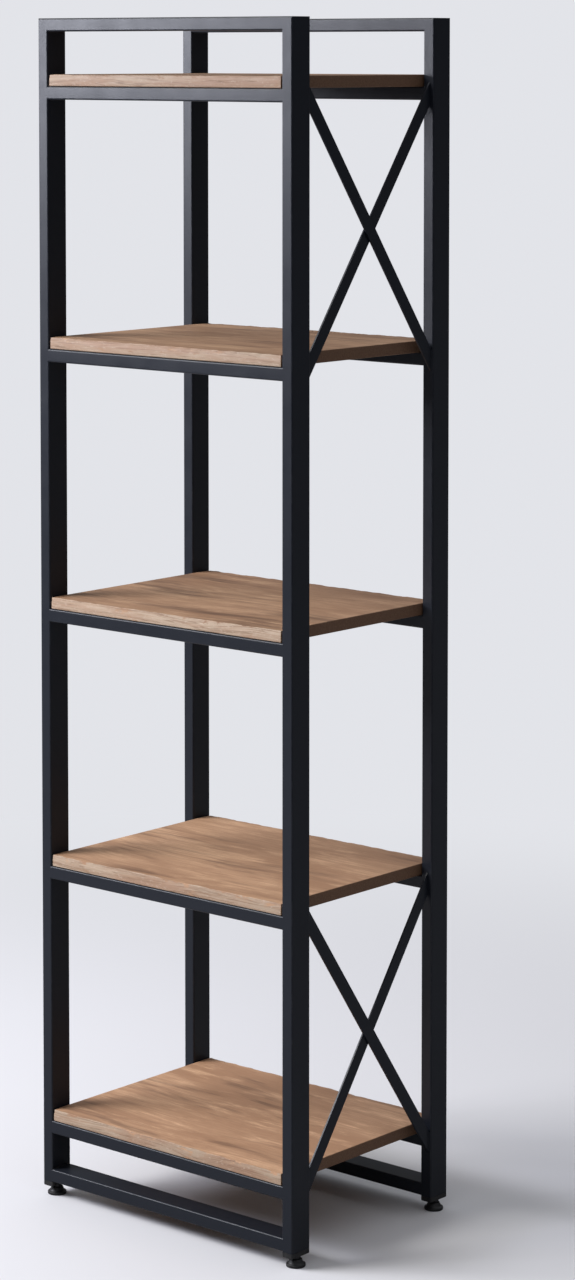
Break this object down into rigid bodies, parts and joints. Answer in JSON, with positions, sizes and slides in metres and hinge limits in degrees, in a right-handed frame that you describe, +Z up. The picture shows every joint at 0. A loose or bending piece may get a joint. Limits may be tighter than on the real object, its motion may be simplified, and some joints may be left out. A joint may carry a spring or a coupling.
{
  "type": "bookcase",
  "caption": "Tall narrow open bookcase: wooden boards on two welded steel tube ladder frames, crossed bars bracing the right side, levelling feet.",
  "frame": {"origin": "on the floor, under the middle of the bookcase", "axes": "+Z up, -Y towards the front, +X to the right seen from the front, where the braced side is"},
  "size_m": [0.519, 0.365, 1.824],
  "materials": {
    "frame_paint": "satin anthracite powder coat, fine orange peel",
    "board_wood": "antique brown wood grain, matt to satin, lighter front edge",
    "black_plastic": "moulded, satin",
    "zinc_steel": "bright zinc plate"
  },
  "bodies": {
    "root": {"post_front_left": "frame_paint", "post_front_right": "frame_paint", "top_rail_front": "frame_paint", "base_rail_front": "frame_paint", "shelf_1_rail_front": "frame_paint", "shelf_2_rail_front": "frame_paint", "shelf_3_rail_front": "frame_paint", "shelf_4_rail_front": "frame_paint", "shelf_5_rail_front": "frame_paint", "post_back_left": "frame_paint", "post_back_right": "frame_paint", "top_rail_back": "frame_paint", "base_rail_back": "frame_paint", "shelf_1_rail_back": "frame_paint", "shelf_2_rail_back": "frame_paint", "shelf_3_rail_back": "frame_paint", "shelf_4_rail_back": "frame_paint", "shelf_5_rail_back": "frame_paint", "shelf_1_board": "board_wood", "shelf_2_board": "board_wood", "shelf_3_board": "board_wood", "shelf_4_board": "board_wood", "shelf_5_board": "board_wood", "shelf_1_screw_front_left": "zinc_steel", "shelf_1_screw_front_right": "zinc_steel", "shelf_1_screw_back_left": "zinc_steel", "shelf_1_screw_back_right": "zinc_steel", "shelf_2_screw_front_left": "zinc_steel", "shelf_2_screw_front_right": "zinc_steel", "shelf_2_screw_back_left": "zinc_steel", "shelf_2_screw_back_right": "zinc_steel", "shelf_3_screw_front_left": "zinc_steel", "shelf_3_screw_front_right": "zinc_steel", "shelf_3_screw_back_left": "zinc_steel", "shelf_3_screw_back_right": "zinc_steel", "shelf_4_screw_front_left": "zinc_steel", "shelf_4_screw_front_right": "zinc_steel", "shelf_4_screw_back_left": "zinc_steel", "shelf_4_screw_back_right": "zinc_steel", "shelf_5_screw_front_left": "zinc_steel", "shelf_5_screw_front_right": "zinc_steel", "shelf_5_screw_back_left": "zinc_steel", "shelf_5_screw_back_right": "zinc_steel", "lower_brace_outer": "frame_paint", "lower_brace_inner": "frame_paint", "upper_brace_outer": "frame_paint", "upper_brace_inner": "frame_paint", "end_plug_front_left": "black_plastic", "end_plug_front_right": "black_plastic", "end_plug_back_left": "black_plastic", "end_plug_back_right": "black_plastic"},
    "foot_front_left": {"foot_pad_front_left": "black_plastic"},
    "stem_front_left": {"foot_stem_front_left": "zinc_steel"},
    "foot_front_right": {"foot_pad_front_right": "black_plastic"},
    "stem_front_right": {"foot_stem_front_right": "zinc_steel"},
    "foot_back_left": {"foot_pad_back_left": "black_plastic"},
    "stem_back_left": {"foot_stem_back_left": "zinc_steel"},
    "foot_back_right": {"foot_pad_back_right": "black_plastic"},
    "stem_back_right": {"foot_stem_back_right": "zinc_steel"}
  },
  "joints": [
    {"name": "foot_travel_front_left", "type": "slide", "parent": "root", "child": "foot_front_left", "axis": [0, 0, -1], "range_m": [0, 0.01]},
    {"name": "stem_turn_front_left", "type": "hinge", "parent": "foot_front_left", "child": "stem_front_left", "pos_m": [-0.245, -0.1625, 0], "axis": [0, 0, -1], "range_deg": [-5, 2885]},
    {"name": "foot_travel_front_right", "type": "slide", "parent": "root", "child": "foot_front_right", "axis": [0, 0, -1], "range_m": [0, 0.01]},
    {"name": "stem_turn_front_right", "type": "hinge", "parent": "foot_front_right", "child": "stem_front_right", "pos_m": [0.245, -0.1625, 0], "axis": [0, 0, -1], "range_deg": [-5, 2885]},
    {"name": "foot_travel_back_left", "type": "slide", "parent": "root", "child": "foot_back_left", "axis": [0, 0, -1], "range_m": [0, 0.01]},
    {"name": "stem_turn_back_left", "type": "hinge", "parent": "foot_back_left", "child": "stem_back_left", "pos_m": [-0.245, 0.1625, 0], "axis": [0, 0, -1], "range_deg": [-5, 2885]},
    {"name": "foot_travel_back_right", "type": "slide", "parent": "root", "child": "foot_back_right", "axis": [0, 0, -1], "range_m": [0, 0.01]},
    {"name": "stem_turn_back_right", "type": "hinge", "parent": "foot_back_right", "child": "stem_back_right", "pos_m": [0.245, 0.1625, 0], "axis": [0, 0, -1], "range_deg": [-5, 2885]}
  ],
  "couplings": [
    {"joint": "stem_turn_front_left", "follows": "foot_travel_front_left", "rad_per_m": 5026.5},
    {"joint": "stem_turn_front_right", "follows": "foot_travel_front_right", "rad_per_m": 5026.5},
    {"joint": "stem_turn_back_left", "follows": "foot_travel_back_left", "rad_per_m": 5026.5},
    {"joint": "stem_turn_back_right", "follows": "foot_travel_back_right", "rad_per_m": 5026.5}
  ]
}
